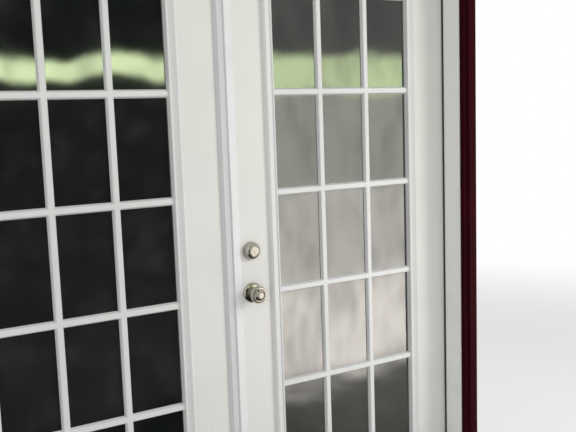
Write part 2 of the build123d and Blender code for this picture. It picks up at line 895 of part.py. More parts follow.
for bolt, z, height, width, end in bolts:
    with BuildPart() as case:
        with BuildSketch(Plane.YZ.offset(meeting_edge)):
            rounded_plate(z, faceplate_width, faceplate_height, faceplate_corner)
        extrude(amount=faceplate_thickness)
        with BuildSketch(Plane.YZ.offset(meeting_edge)):
            with Locations((middle_plane, z)):
                Circle(case_radius)
        extrude(amount=tube_end - meeting_edge)
        with BuildSketch(Plane.YZ.offset(channel_end)):
            with Locations((middle_plane, z)):
                Rectangle(width, case_tongue_height)
        extrude(amount=lock_x + case_tongue_past_hub - channel_end)
        with BuildSketch(Plane.YZ.offset(meeting_edge)):
            with Locations((middle_plane, z)):
                slide = 2 * bolt_slide_clearance
                Rectangle(width + slide, height + slide)
        extrude(amount=channel_end - meeting_edge, mode=Mode.SUBTRACT)
        with BuildSketch(Plane.XZ):
            with Locations((lock_x, z)):
                Circle(hub_hole_radius)
        extrude(amount=-leaf_thickness, mode=Mode.SUBTRACT)
    finish(case, f"{bolt}_case")

with BuildPart() as latch_bolt:
    with BuildSketch(Plane.XY.offset(latch_z - latch_bolt_height / 2)):
        tip = meeting_edge + bolt_slide_clearance
        tail = channel_end - bolt_slide_clearance
        outer, inner = middle_plane - latch_bolt_width / 2, middle_plane + latch_bolt_width / 2
        outline(
            (tail, outer),
            (tail, inner),
            (tip, inner),
            (tip, inner - latch_point),
            (tip + latch_travel - latch_point / 2, outer),
        )
    extrude(amount=latch_bolt_height)
finish(latch_bolt, "latch_bolt")

with BuildPart() as deadbolt_bolt:
    with BuildSketch(Plane.YZ.offset(meeting_edge + bolt_slide_clearance)):
        with Locations((middle_plane, deadbolt_z)):
            RectangleRounded(deadbolt_bolt_width, deadbolt_bolt_height, 1)
    extrude(amount=channel_end - meeting_edge - 2 * bolt_slide_clearance)
finish(deadbolt_bolt, "deadbolt_bolt")


# Knobs: turned knobs on one spindle, each running in a stepped rose on the slab


def lock_plane(z):
    """A plane for turned parts: its x is the radius from the lock's axis, its y runs through the leaf."""
    return Plane(origin=(lock_x, 0, z), x_dir=(1, 0, 0), z_dir=(0, 0, 1))


def lock_axis(z):
    return Axis((lock_x, 0, z), (0, 1, 0))


def dome(outer, inner, low, high):
    """Points of a quarter ellipse from (outer, low) to (inner, high), turned in straight steps."""
    turns = [math.radians(90 * step / dome_steps) for step in range(dome_steps + 1)]
    return [
        (inner + (outer - inner) * math.cos(turn), low + (high - low) * math.sin(turn))
        for turn in turns
    ]


def turned(z, face, out, profile):
    """Revolve a profile of (radius, height) points, its heights counted from face in direction out."""
    with BuildSketch(lock_plane(z)) as section:
        outline(*[(radius, face + out * height) for radius, height in profile])
    revolve(section.sketch, axis=lock_axis(z))


rose_hole = knob_neck_radius + knob_running_gap
spindle_bore = spindle_radius + pin_clearance


def rose(face, out):
    """A rose on the slab face at y = face: a low dome up to a short collar."""
    with BuildPart() as cover:
        profile = [
            (rose_radius, 0),
            *dome(rose_radius, rose_collar_radius, rose_edge, rose_height),
            (rose_collar_radius, rose_collar_height),
            (rose_hole, rose_collar_height),
            (rose_hole, 0),
        ]
        turned(latch_z, face, out, profile)
    return cover


def knob(face, out, keyed):
    """A turned knob with a ringed face, with a keyway outside or a turn button inside."""
    belly = knob_rim_reach - knob_rim_width
    ring = knob_face_radius + knob_face_groove
    shoulder = dome(knob_radius, knob_neck_radius, 0, belly - knob_neck_reach)
    with BuildPart() as handle:
        profile = [
            (0, spindle_seat),
            (spindle_bore, spindle_seat),
            (spindle_bore, knob_foot),
            (knob_neck_radius, knob_foot),
            *[(radius, belly - height) for radius, height in reversed(shoulder)],
            *dome(knob_radius, ring, knob_rim_reach, knob_rim_reach + knob_rim_width),
            (knob_face_radius, knob_rim_reach + knob_rim_width - knob_face_groove),
            (knob_plug_radius, knob_reach - knob_plug_height),
            (knob_plug_radius, knob_reach),
            (0, knob_reach),
        ]
        turned(latch_z, face, out, profile)
        with BuildSketch(Plane.XZ.offset(-face - out * knob_reach)) as mark:
            with Locations((lock_x, latch_z)):
                if keyed:
                    Rectangle(keyway_width, keyway_height)
                else:
                    Rectangle(turn_button_width, 2 * knob_plug_radius - turn_button_width)
        if keyed:
            extrude(mark.sketch, amount=-keyway_depth, mode=Mode.SUBTRACT)
        else:
            extrude(mark.sketch, amount=-turn_button_height)
    return handle


finish(rose(0, -1), "knob_outer_rose")
finish(rose(leaf_thickness, 1), "knob_inner_rose")
finish(knob(0, -1, True), "outer_knob")
finish(knob(leaf_thickness, 1, False), "inner_knob")

with BuildPart() as knob_spindle:
    with BuildSketch(Plane.XZ.offset(spindle_seat)):
        with Locations((lock_x, latch_z)):
            Circle(spindle_radius)
    extrude(amount=-(leaf_thickness + 2 * spindle_seat))
finish(knob_spindle, "knob_spindle")

# Deadbolt trim: a tapered collar with its keyed plug outside, a plate with a thumb turn inside

with BuildPart() as deadbolt_collar:
    bore = plug_radius + plug_clearance
    profile = [
        (collar_radius, 0),
        *dome(collar_radius, collar_face_radius, collar_edge, collar_height),
        (bore, collar_height),
        (bore, 0),
    ]
    turned(deadbolt_z, 0, -1, profile)
finish(deadbolt_collar, "deadbolt_collar")

turn_face = leaf_thickness + inner_plate_height + turn_gap

with BuildPart() as deadbolt_cylinder:
    with BuildSketch(Plane.XZ.offset(collar_shoulder)):
        with Locations((lock_x, deadbolt_z)):
            Circle(plug_radius)
    extrude(amount=collar_height + plug_proud - collar_shoulder)
    with BuildSketch(Plane.XZ.offset(collar_height + plug_proud)):
        with Locations((lock_x, deadbolt_z)):
            Rectangle(keyway_width, keyway_height)
    extrude(amount=-keyway_depth, mode=Mode.SUBTRACT)
    with BuildSketch(Plane.XZ.offset(collar_shoulder)):
        with Locations((lock_x, deadbolt_z)):
            Rectangle(tailpiece_thickness, tailpiece_width)
    extrude(amount=-(collar_shoulder + turn_face + tailpiece_seat))
finish(deadbolt_cylinder, "deadbolt_cylinder")

with BuildPart() as deadbolt_inner_plate:
    profile = [
        (inner_plate_radius, 0),
        (inner_plate_radius, inner_plate_height - inner_plate_bevel),
        (inner_plate_radius - inner_plate_bevel, inner_plate_height),
        (hub_hole_radius, inner_plate_height),
        (hub_hole_radius, 0),
    ]
    turned(deadbolt_z, leaf_thickness, 1, profile)
finish(deadbolt_inner_plate, "deadbolt_inner_plate")

with BuildPart() as thumb_turn:
    with BuildSketch(Plane.XZ.offset(-turn_face)):
        with Locations((lock_x, deadbolt_z)):
            Circle(turn_hub_radius)
    extrude(amount=-turn_thickness)
    with BuildSketch(Plane.XZ.offset(-turn_face)):
        with Locations((lock_x, deadbolt_z)):
            SlotOverall(turn_length, turn_thickness, rotation=90)
    extrude(amount=-turn_reach)
    with BuildSketch(Plane.XZ.offset(-turn_face)):
        with Locations((lock_x, deadbolt_z)):
            slot = 2 * mortise_clearance
            Rectangle(tailpiece_thickness + slot, tailpiece_width + slot)
    extrude(amount=-(tailpiece_seat + mortise_clearance), mode=Mode.SUBTRACT)
finish(thumb_turn, "thumb_turn")
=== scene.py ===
"""A pair of glazed entrance doors in their frame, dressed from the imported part."""

import json
import math

import bpy
import numpy as np
from mathutils import Matrix, Vector


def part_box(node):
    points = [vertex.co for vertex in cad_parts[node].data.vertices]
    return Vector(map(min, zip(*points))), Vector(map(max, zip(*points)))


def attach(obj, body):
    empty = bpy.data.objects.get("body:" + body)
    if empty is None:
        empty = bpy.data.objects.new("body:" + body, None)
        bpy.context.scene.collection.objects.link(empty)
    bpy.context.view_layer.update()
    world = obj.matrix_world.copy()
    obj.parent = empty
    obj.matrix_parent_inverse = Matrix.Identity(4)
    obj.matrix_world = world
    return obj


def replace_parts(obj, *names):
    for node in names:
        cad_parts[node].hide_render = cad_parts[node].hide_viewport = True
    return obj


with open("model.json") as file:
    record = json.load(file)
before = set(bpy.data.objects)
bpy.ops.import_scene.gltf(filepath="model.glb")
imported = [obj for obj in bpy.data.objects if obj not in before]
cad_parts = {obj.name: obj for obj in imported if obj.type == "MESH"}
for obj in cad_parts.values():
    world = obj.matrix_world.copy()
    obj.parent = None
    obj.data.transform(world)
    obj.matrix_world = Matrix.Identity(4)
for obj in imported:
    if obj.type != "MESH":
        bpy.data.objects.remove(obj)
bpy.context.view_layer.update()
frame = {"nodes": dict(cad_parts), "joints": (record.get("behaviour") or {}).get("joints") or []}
nodes = frame["nodes"]

# Sill and cap
# An aluminium extrusion, mill finished, that slopes outwards under the leaves with ribs against
# slipping. The cap is an oak coloured composite strip with a clear coat, screwed down on its seat.


class Wire:
    """A shader socket that works in arithmetic: each operator adds the Math node that it names."""

    def __init__(self, finish, socket):
        self.finish = finish
        self.socket = socket

    def maths(self, operation, *values):
        return self.finish.node(
            "ShaderNodeMath", {"operation": operation}, dict(enumerate(values))
        )

    def __add__(self, other):
        return self.maths("ADD", self, other)

    def __sub__(self, other):
        return self.maths("SUBTRACT", self, other)

    def __rsub__(self, other):
        return self.maths("SUBTRACT", other, self)

    def __mul__(self, other):
        return self.maths("MULTIPLY", self, other)

    def __pow__(self, other):
        return self.maths("POWER", self, other)

    __radd__ = __add__
    __rmul__ = __mul__

    def between(self, low, high):
        """0 below low, 1 above high and smooth in between; low may be the greater one."""
        return self.finish.node(
            "ShaderNodeMapRange",
            {"interpolation_type": "SMOOTHSTEP"},
            {"Value": self, "From Min": low, "From Max": high},
        )


class Finish:
    """A material that is written from its coordinates up to its one Principled shader."""

    def __init__(self, name):
        self.material = bpy.data.materials.new(name)
        self.material.use_nodes = True
        self.tree = self.material.node_tree
        self.shader = self.tree.nodes["Principled BSDF"]
        self.place = self.node("ShaderNodeTexCoord", output="Object")
        self.x, self.y, self.z = (
            self.node("ShaderNodeSeparateXYZ", {}, {"Vector": self.place}, axis) for axis in "XYZ"
        )

    def node(self, kind, settings=None, inputs=None, output=0):
        """Add a node: its settings first, then the values or links of its sockets."""
        made = self.tree.nodes.new(kind)
        for name, value in (settings or {}).items():
            setattr(made, name, value)
        for name, value in (inputs or {}).items():
            self.feed(made.inputs[name], value)
        return Wire(self, made.outputs[output])

    def feed(self, socket, value):
        if isinstance(value, Wire):
            self.tree.links.new(value.socket, socket)
        elif isinstance(value, tuple) and len(value) == 3 and socket.type == "RGBA":
            socket.default_value = (*value, 1.0)
        else:
            socket.default_value = value

    def stretched(self, along_x, along_y, along_z):
        """The object's coordinates, scaled along each axis, for a grain that runs one way."""
        return self.node(
            "ShaderNodeVectorMath",
            {"operation": "MULTIPLY"},
            {0: self.place, 1: (along_x, along_y, along_z)},
        )

    def noise(self, scale, detail=3.0, place=None, roughness=0.5):
        """Fractal noise from 0 to 1, about 0.5 on average."""
        sockets = {
            "Vector": place or self.place,
            "Scale": scale,
            "Detail": detail,
            "Roughness": roughness,
        }
        return self.node("ShaderNodeTexNoise", {}, sockets, "Fac")

    def blend(self, share, first, second):
        """The colour first, going over to second as share goes from 0 to 1."""
        settings = {"data_type": "RGBA", "clamp_factor": True}
        return self.node("ShaderNodeMix", settings, {0: share, 6: first, 7: second}, 2)

    def relief(self, height, depth):
        """A bump whose height of 1 stands depth metres proud."""
        return self.node("ShaderNodeBump", {}, {"Height": height, "Distance": depth, "Strength": 1.0})

    def made(self, **sockets):
        """Set the shader's sockets, named as in base_color, and give back the material."""
        by_name = {socket.name.lower().replace(" ", "_"): socket for socket in self.shader.inputs}
        for name, value in sockets.items():
            self.feed(by_name[name], value)
        return self.material


def clad(material, *names):
    """Give CAD nodes their material."""
    for name in names:
        slots = nodes[name].data.materials
        slots.clear()
        slots.append(material)


def drawn_metal(name, colour, scale, roughness):
    """Metal with fine lines along X, as a die leaves them, and a few dull patches."""
    metal = Finish(name)
    lines = metal.noise(scale, 4.0, metal.stretched(0.02, 1.0, 1.0))
    patches = metal.noise(9.0, 4.0)
    dull = patches.between(0.45, 0.75)
    dark = tuple(0.72 * channel for channel in colour)
    return metal.made(
        base_color=metal.blend(lines * 0.35 + dull * 0.4, colour, dark),
        metallic=1.0,
        roughness=roughness + lines * 0.12 + dull * 0.18,
        normal=metal.relief(lines, 0.00004),
    )


def cap_finish():
    """Clear-coated wood tone with its grain along X and fine dark pores in it."""
    wood = Finish("cap_finish")
    grain = wood.noise(120.0, 5.0, wood.stretched(0.06, 1.0, 1.0), 0.6)
    pores = wood.noise(900.0, 2.0, wood.stretched(0.03, 1.0, 1.0)).between(0.6, 0.72)
    tone = wood.blend(grain.between(0.3, 0.7), (0.38, 0.24, 0.12), (0.56, 0.40, 0.24))
    return wood.made(
        base_color=wood.blend(pores * 0.6, tone, (0.20, 0.12, 0.06)),
        roughness=0.42 + grain * 0.15,
        normal=wood.relief(grain - pores * 0.5, 0.00015),
    )


def piece(name, vertices, faces, material, body, slot, sharp=30.0):
    """Make an object of the given faces that rides on a body; edges over sharp degrees stay crisp."""
    mesh = bpy.data.meshes.new(name)
    mesh.from_pydata(vertices.tolist(), [], faces)
    mesh.materials.append(material)
    mesh.shade_smooth()
    mesh.set_sharp_from_angle(angle=math.radians(sharp))
    made = bpy.data.objects.new(name, mesh)
    bpy.context.scene.collection.objects.link(made)
    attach(made, body)
    return made


def tube_faces(rings, count, start=0, wrap=False):
    """Quads between rings of count points, outwards, and the two end faces unless they wrap."""
    index = start + np.arange(rings * count).reshape(rings, count)
    low, high = (index, np.roll(index, -1, 0)) if wrap else (index[:-1], index[1:])
    quads = np.stack([low, np.roll(low, -1, 1), np.roll(high, -1, 1), high], -1)
    faces = quads.reshape(-1, 4).tolist()
    return faces if wrap else faces + [index[0, ::-1].tolist(), index[-1].tolist()]


def in_millimetres(node):
    """A CAD node's lowest and highest corners at rest, as two rows of x, y and z."""
    return np.array(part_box(node)) * 1000


def ribbed_sill():
    """The extrusion's section in millimetres, run along X in two lengths around the jambs' stops.

    Its tread falls in a straight line, z = nose_top + (ridge_top - nose_top) (y - nose) /
    (ridge - nose), and each of its 22 ribs is a step of 0.7 mm between two grooves.
    """
    (_, nose, underside), (half_between_jambs, inner_edge, ridge_top) = in_millimetres("sill")
    (_, stop_face, seat_top), _ = in_millimetres("sill_cap")
    half_between_stops = in_millimetres("right_jamb")[0][0]
    nose_height, ridge_wall = 12.0, 4.0
    nose_top, ridge = underside + nose_height, stop_face - ridge_wall
    ribs, groove = 22, 0.7
    plain_share, ribbed_share = 0.04, 0.9
    rib = np.arange(ribs)[:, None]
    share = np.array([0.10, 0.55, 0.70, 0.95])
    depth = np.array([0.0, 0.0, groove, groove])
    y = ridge + (nose - ridge) * (plain_share + ribbed_share * (rib + share) / ribs)
    z = nose_top + (ridge_top - nose_top) * (y - nose) / (ridge - nose) - depth
    tread = np.stack([y, z], -1).reshape(-1, 2)
    foot = [
        (nose, underside), (stop_face, underside), (stop_face, seat_top),
        (ridge, seat_top), (ridge, ridge_top),
    ]
    front = np.concatenate([foot, tread, [(nose, nose_top)]])
    back = [
        (stop_face, underside), (inner_edge, underside),
        (inner_edge, seat_top), (stop_face, seat_top),
    ]
    vertices, faces, start = [], [], 0
    for section, reach in ((front, half_between_stops), (back, half_between_jambs)):
        x = np.repeat([-reach, reach], len(section))
        vertices.append(np.column_stack([x, np.tile(section, (2, 1))]))
        faces += tube_faces(2, len(section), start)
        start += len(x)
    return np.concatenate(vertices) / 1000, faces


sill_metal = drawn_metal("sill_metal", (0.60, 0.60, 0.59), 260.0, 0.38)
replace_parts(piece("ribbed_sill", *ribbed_sill(), sill_metal, "frame", "sill_metal"), "sill")
clad(cap_finish(), "sill_cap")

# Jambs
# Three rabbeted boards of finger-jointed pine, primed and brush painted off-white. The brush has
# gone along each board, and grime lies on them in clouds, thicker near the sill.


def brushed_paint(name, colour, grime, across, low_end=0.0, gloss=0.38):
    """Paint with brush marks along one axis; across holds the scales along X, Y and Z."""
    paint = Finish(name)
    colour = colour(paint) if callable(colour) else colour
    marks = paint.noise(420.0, 3.0, paint.stretched(*across))
    cloud = paint.noise(5.0, 4.0)
    fine = paint.noise(1500.0, 2.0)
    low = paint.z.between(low_end + 0.35, low_end)
    dirt = cloud.between(0.45, 0.85) * 0.16 + low * cloud * 0.55
    return paint.made(
        base_color=paint.blend(dirt + marks * 0.06, colour, grime),
        roughness=gloss + cloud * 0.12 + marks * 0.06,
        normal=paint.relief(marks * 0.8 + fine * 0.2, 0.00012),
    )


jamb_white = (0.91, 0.912, 0.905)
jamb_grime = (0.48, 0.47, 0.43)
clad(brushed_paint("jamb_paint", jamb_white, jamb_grime, (1, 1, 0.03)), "left_jamb", "right_jamb")
clad(brushed_paint("head_paint", jamb_white, jamb_grime, (0.03, 1, 1), -1.0), "head_jamb")

# Brick mould
# Three lengths of coved pine moulding, nailed on, mitred at the head and painted a dark maroon
# that has weathered: it has gone chalky in clouds, with a few pale specks.


def weathered_maroon(name, across):
    """Dark paint with brush marks along one axis, chalk in clouds, and pale specks where it lifts."""
    paint = Finish(name)
    marks = paint.noise(300.0, 4.0, paint.stretched(*across), 0.6)
    cloud = paint.noise(7.0, 5.0)
    specks = paint.noise(260.0, 2.0).between(0.68, 0.76)
    chalk = cloud.between(0.35, 0.7) * 0.5 + marks * 0.2
    tone = paint.blend(chalk, (0.022, 0.0006, 0.0028), (0.040, 0.0020, 0.0075))
    return paint.made(
        base_color=paint.blend(specks * 0.2, tone, (0.09, 0.035, 0.04)),
        roughness=0.50 + chalk * 0.3,
        specular_ior_level=0.03,
        normal=paint.relief(marks, 0.00022),
    )


clad(weathered_maroon("mould_paint", (1, 1, 0.03)), "left_brick_mould", "right_brick_mould")
clad(weathered_maroon("head_mould_paint", (0.03, 1, 1)), "head_brick_mould")

# Weatherstrips
# Foam bulbs in a thin dark skin, pressed into the kerf of each jamb. The skin is matt and finely
# creased. The strip between the leaves is a pale pile, and the sweeps are vinyl.


def seal_skin(name, colour):
    """A matt skin with fine upright creases, paler where dust lies on it."""
    skin = Finish(name)
    creases = skin.noise(160.0, 3.0, skin.stretched(1, 1, 0.1))
    dust = skin.noise(30.0, 4.0).between(0.5, 0.8)
    pale = tuple(channel * 2.2 + 0.02 for channel in colour)
    return skin.made(
        base_color=skin.blend(dust * 0.6, colour, pale),
        roughness=0.62 + creases * 0.2,
        normal=skin.relief(creases, 0.00006),
    )


bulb_seals = ("left_weatherstrip", "right_weatherstrip", "head_weatherstrip")
clad(seal_skin("seal_rubber", (0.030, 0.030, 0.031)), *bulb_seals)
clad(seal_skin("pile", (0.34, 0.34, 0.33)), "astragal_weatherstrip")
clad(seal_skin("sweep_vinyl", (0.055, 0.055, 0.056)), "left_door_sweep", "right_door_sweep")

# Slabs
# Foam-cored leaves with a moulded skin, sprayed off-white. The skin is nearly flat, with a faint
# texture under the paint. Weather has dulled it in clouds and streaks, and it goes darker towards
# the foot.


def leaf_paint(name, colour, grime):
    """Sprayed paint with a fine peel, grimy in clouds and in streaks down the leaf, darker near its
    foot.
    """
    paint = Finish(name)
    peel = paint.noise(700.0, 2.0)
    cloud = paint.noise(3.5, 5.0)
    streaks = paint.noise(60.0, 4.0, paint.stretched(1, 1, 0.05))
    low = paint.z.between(0.75, 0.05)
    dirt = cloud.between(0.4, 0.8) * 0.18 + streaks.between(0.5, 0.85) * 0.08 + low * cloud * 0.35
    return paint.made(
        base_color=paint.blend(dirt, colour, grime),
        roughness=0.40 + cloud * 0.12,
        normal=paint.relief(peel + streaks * 0.6, 0.00006),
    )


clad(leaf_paint("leaf_paint", (0.80, 0.79, 0.755), (0.54, 0.53, 0.50)), "left_slab", "right_slab")

# Lite frames
# Moulded plastic rings with their glazing bars, one outside and one inside each leaf, screwed
# together through the cut-out. They are a little cooler and smoother than the leaf, and painted a
# little darker than it: painted shade, for the shade that falls on the glazing bars. A plug sits
# over each screw in the slope of the inner ring.

lite_frames = [f"{side}_{face}_lite_frame" for side in ("left", "right") for face in ("outer", "inner")]
# The rings' colour is a little darker than the leaf's: painted shade.
lite_plastic = leaf_paint("lite_plastic", (0.755, 0.762, 0.75), (0.53, 0.525, 0.51))
clad(lite_plastic, *lite_frames)


def studs(rings, places):
    """Copy a turned form, rings of points about its own Z, to each (place, normal, across)."""
    vertices, faces = [], []
    for place, normal, across in places:
        normal, across = np.array(normal, float), np.array(across, float)
        turn = np.stack([across, np.cross(normal, across), normal])
        faces += tube_faces(rings.shape[0], rings.shape[1], len(vertices) * rings[..., 0].size)
        vertices.append(rings.reshape(-1, 3) @ turn + np.array(place))
    return np.concatenate(vertices), faces


def circle_rings(profile, count=24):
    """Turn (radius, height) points in millimetres about Z, at count points a ring."""
    angles = np.linspace(0, 2 * math.pi, count, endpoint=False)
    around = np.stack([np.cos(angles), np.sin(angles)], -1)
    radii, heights = np.array(profile, float).T / 1000
    flat = radii[:, None, None] * around
    return np.concatenate([flat, np.broadcast_to(heights[:, None, None], (*flat.shape[:2], 1))], -1)


leaf_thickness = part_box("right_slab")[1].y


def lite_plug_places(side):
    """Where the plugs sit: halfway up the ring's slope, tilted with it towards the glass."""
    ring_width, from_glass, height, slope = 0.042, 0.0196, 0.0074, math.radians(19.6)
    low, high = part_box(f"{side}_inner_lite_frame")
    glass_middle, half_glass = (low.x + high.x) / 2, (high.x - low.x) / 2 - ring_width
    glass_low, glass_high = low.z + ring_width, high.z - ring_width
    lowest, highest, spread = 0.45, 1.72, 0.19
    uprights = [
        (end, 0.0, glass_middle + end * (half_glass + from_glass), z)
        for end in (-1, 1)
        for z in np.linspace(lowest, highest, 5)
    ]
    rails = [
        (0.0, end, glass_middle + place * spread, z)
        for end, z in ((-1, glass_low - from_glass), (1, glass_high + from_glass))
        for place in (-1, 0, 1)
    ]
    for out_x, out_z, x, z in uprights + rails:
        normal = (-out_x * math.sin(slope), math.cos(slope), -out_z * math.sin(slope))
        yield (x, leaf_thickness + height, z), normal, (abs(out_z), 0.0, abs(out_x))


plug_form = circle_rings([(4.2, -0.6), (4.2, 0.25), (3.6, 0.55), (2.0, 0.7)])
for side in ("left", "right"):
    plugs = studs(plug_form, list(lite_plug_places(side)))
    piece(f"{side}_lite_plugs", *plugs, lite_plastic, f"{side}_door", "lite_paint")

# Panes
# Float glass, two panes with an air gap to each leaf. With a dark room behind it, it reads as a dark
# mirror, so it is painted near black and lets only a little light through: painted shade for the
# dark room behind it.


def pane_glass():
    """A dark mirror: the float's slow waves bend the reflection a little, and dust dims it.

    Its index of refraction mirrors 14% at right angles, as the four faces of double glazing do.
    """
    glass = Finish("pane_glass")
    waves = glass.noise(2.6, 2.0)
    dust = glass.noise(9.0, 5.0)
    # The near-black colour and the alpha of 0.9 are painted shade for the dark room behind the glass.
    return glass.made(
        base_color=glass.blend(dust.between(0.4, 0.9), (0.006, 0.008, 0.008), (0.030, 0.032, 0.030)),
        roughness=0.03 + dust * 0.05,
        alpha=0.90 - dust * 0.05,
        ior=2.2,
        normal=glass.relief(waves, 0.0012),
    )


panes = [f"{side}_{face}_pane" for side in ("left", "right") for face in ("outer", "inner")]
clad(pane_glass(), *panes)
spacer_metal = drawn_metal("spacer_metal", (0.50, 0.50, 0.50), 500.0, 0.5)
clad(spacer_metal, "left_pane_spacer", "right_pane_spacer")

# Split astragal
# A post on the passive leaf's edge, and a moulding outside on each leaf that meet over the gap.
# They are painted metal of a cooler white than the leaves, and the active half's slope is painted
# whiter: a painted highlight where it faces the key light.
# The thin fin on its edge is white vinyl.


# The fin's own white vinyl, which the active half's slope also takes as a painted highlight.
vinyl_and_highlight_white = (0.80, 0.80, 0.80)


def bar_and_lit_slope(finish):
    """Go over from the bar's paint to the slope's whiter paint, a painted highlight, within a
    millimetre of x = 9.8 mm.
    """
    return finish.blend(finish.x.between(0.0093, 0.0103), (0.66, 0.67, 0.675), vinyl_and_highlight_white)


bar_paint = brushed_paint("bar_paint", bar_and_lit_slope, (0.44, 0.45, 0.45), (1, 1, 0.02), gloss=0.40)
clad(bar_paint, "astragal_post", "passive_astragal", "active_astragal")


def joint_fin():
    """A section in millimetres from the bar's outer corner, run up the bar.

    It starts 0.5 mm inside the bar and reaches 2.1 mm over the joint, thinner towards its tip.
    """
    section = np.array(
        [(0.5, 2.8), (0.5, 1.6), (-0.3, 1.8), (-1.9, 2.0), (-2.1, 2.2), (-1.9, 2.4), (-0.3, 2.6)]
    )
    (edge, face, foot), (_, _, top) = in_millimetres("active_astragal")
    heights = np.repeat([foot, top], len(section))
    vertices = np.column_stack([np.tile(section + (edge, face), (2, 1)), heights])
    return vertices / 1000, tube_faces(2, len(section))


fin_vinyl = leaf_paint("fin_vinyl", vinyl_and_highlight_white, (0.55, 0.55, 0.55))
piece("joint_fin", *joint_fin(), fin_vinyl, "right_door", "astragal_paint")

# Hinges, strikes and bolts
# Pressed and turned steel, plated in satin nickel or zinc, with the fine lines of its brushing.
# A headed pin drops into each hinge from above, and the strikes lie in shallow mortises.


def plated(name, colour, roughness, lines_along):
    """Brushed plate; lines_along holds the scales along X, Y and Z of its fine lines."""
    metal = Finish(name)
    lines = metal.noise(900.0, 3.0, metal.stretched(*lines_along))
    smudge = metal.noise(55.0, 4.0).between(0.45, 0.75)
    dark = tuple(0.7 * channel for channel in colour)
    return metal.made(
        base_color=metal.blend(smudge * 0.5 + lines * 0.2, colour, dark),
        metallic=1.0,
        roughness=roughness + smudge * 0.14 + lines * 0.06,
        normal=metal.relief(lines, 0.00002),
    )


hinge_nickel = plated("hinge_nickel", (0.56, 0.53, 0.49), 0.30, (1, 0.05, 1))
clad(
    hinge_nickel,
    "left_hinge_frame_leaves",
    "left_hinge_door_leaves",
    "right_hinge_frame_leaves",
    "right_hinge_door_leaves",
)
hinge_height = 0.1016
hinge_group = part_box("right_hinge_frame_leaves")
hinge_middles = np.linspace(
    hinge_group[0].z + hinge_height / 2, hinge_group[1].z - hinge_height / 2, 3
)
# A point on the axis of each joint that turns, as the record has it.
axis_places = {joint["name"]: joint["pos_m"] for joint in frame["joints"] if "pos_m" in joint}
pin_profile = [
    (3.9, -101.6), (3.9, 0.0), (5.2, 0.0), (5.5, 0.3), (5.5, 1.6),
    (5.1, 2.4), (4.1, 3.0), (2.4, 3.4), (0.6, 3.5),
]
for side in ("left", "right"):
    pin_x, pin_y, _ = axis_places[f"{side}_swing"]
    places = [
        ((pin_x, pin_y, middle + hinge_height / 2), (0, 0, 1), (1, 0, 0)) for middle in hinge_middles
    ]
    pins = studs(circle_rings(pin_profile), places)
    made = piece(f"{side}_turned_pins", *pins, hinge_nickel, "frame", "hinge_metal")
    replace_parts(made, f"{side}_hinge_pins")

strike_nickel = plated("strike_nickel", (0.54, 0.50, 0.45), 0.30, (1, 1, 0.05))
clad(
    strike_nickel,
    "head_bolt_strike",
    "sill_bolt_strike",
    "latch_strike",
    "deadbolt_strike",
    "latch_case",
    "deadbolt_case",
)
bolt_steel = plated("bolt_steel", (0.58, 0.57, 0.55), 0.26, (0.05, 1, 0.05))
clad(bolt_steel, "top_flush_bolt", "bottom_flush_bolt", "latch_bolt", "deadbolt_bolt", "knob_spindle")

# Screws
# Countersunk steel screws with a cross recess, plated like what they hold: four to each hinge leaf,
# two to each strike and to each lock's faceplate, and two through each inner plate of the locks.


def recessed_head(radius, rise, outline, depth, taper):
    """A round head with a recess: rings at its rim, its top edge, the recess's mouth and floor.

    The outline is star-shaped about the middle, so each of its points shares its angle with the
    rim: rim = radius (cos a, sin a), where a = atan2(y, x) of the outline's point. The rim lies
    1 mm under the surface that the head sits in.
    """
    outline = np.array(outline, float)
    rim = outline / np.linalg.norm(outline, axis=1)[:, None]
    levels = (
        (radius * rim, -1.0),
        (radius * rim, rise * 0.4),
        ((radius - rise) * rim, rise),
        (outline, rise),
        (outline * taper, rise - depth),
    )
    return np.stack([np.column_stack([flat, np.full(len(flat), z)]) for flat, z in levels]) / 1000


def edged(corners, steps):
    """Points along a closed polygon, steps to an edge."""
    corners = np.array(corners, float)
    shares = np.arange(steps) / steps
    ahead = np.roll(corners, -1, 0) - corners
    return (corners[:, None] + shares[None, :, None] * ahead[:, None]).reshape(-1, 2)


def cross_outline(reach, half):
    """A cross whose arms reach that far and are twice half wide."""
    quarter = [(reach, -half), (reach, half), (half, half)]
    turns = ((1, 0), (0, 1), (-1, 0), (0, -1))
    corners = [(x * c - y * s, x * s + y * c) for c, s in turns for x, y in quarter]
    return edged(corners, 3)


def screws(name, radius, places, material, body, slot):
    """Heads of one size at the places given, their cross cut 1.1 mm deep."""
    form = recessed_head(radius, 0.25, cross_outline(radius * 0.55, radius * 0.13), 1.1, 0.5)
    piece(name, *studs(form, places), material, body, slot)


# Each hinge leaf has its four screws at these (y, z), z from the hinge's middle.
hinge_pattern = ((0.0335, 0.036), (0.0190, 0.0135), (0.0190, -0.0135), (0.0335, -0.036))
jamb_face, leaf_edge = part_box("sill")[1].x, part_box("right_slab")[1].x
for side, name in ((-1, "left"), (1, "right")):
    screwed_faces = (("frame", jamb_face, -side, "frame"), ("door", leaf_edge, side, f"{name}_door"))
    for kind, x, facing, body in screwed_faces:
        places = [
            ((side * x, y, middle + z), (facing, 0, 0), (0, 0.6, 0.8))
            for middle in hinge_middles
            for y, z in hinge_pattern
        ]
        screws(f"{name}_hinge_{kind}_screws", 3.6, places, hinge_nickel, body, "hinge_metal")

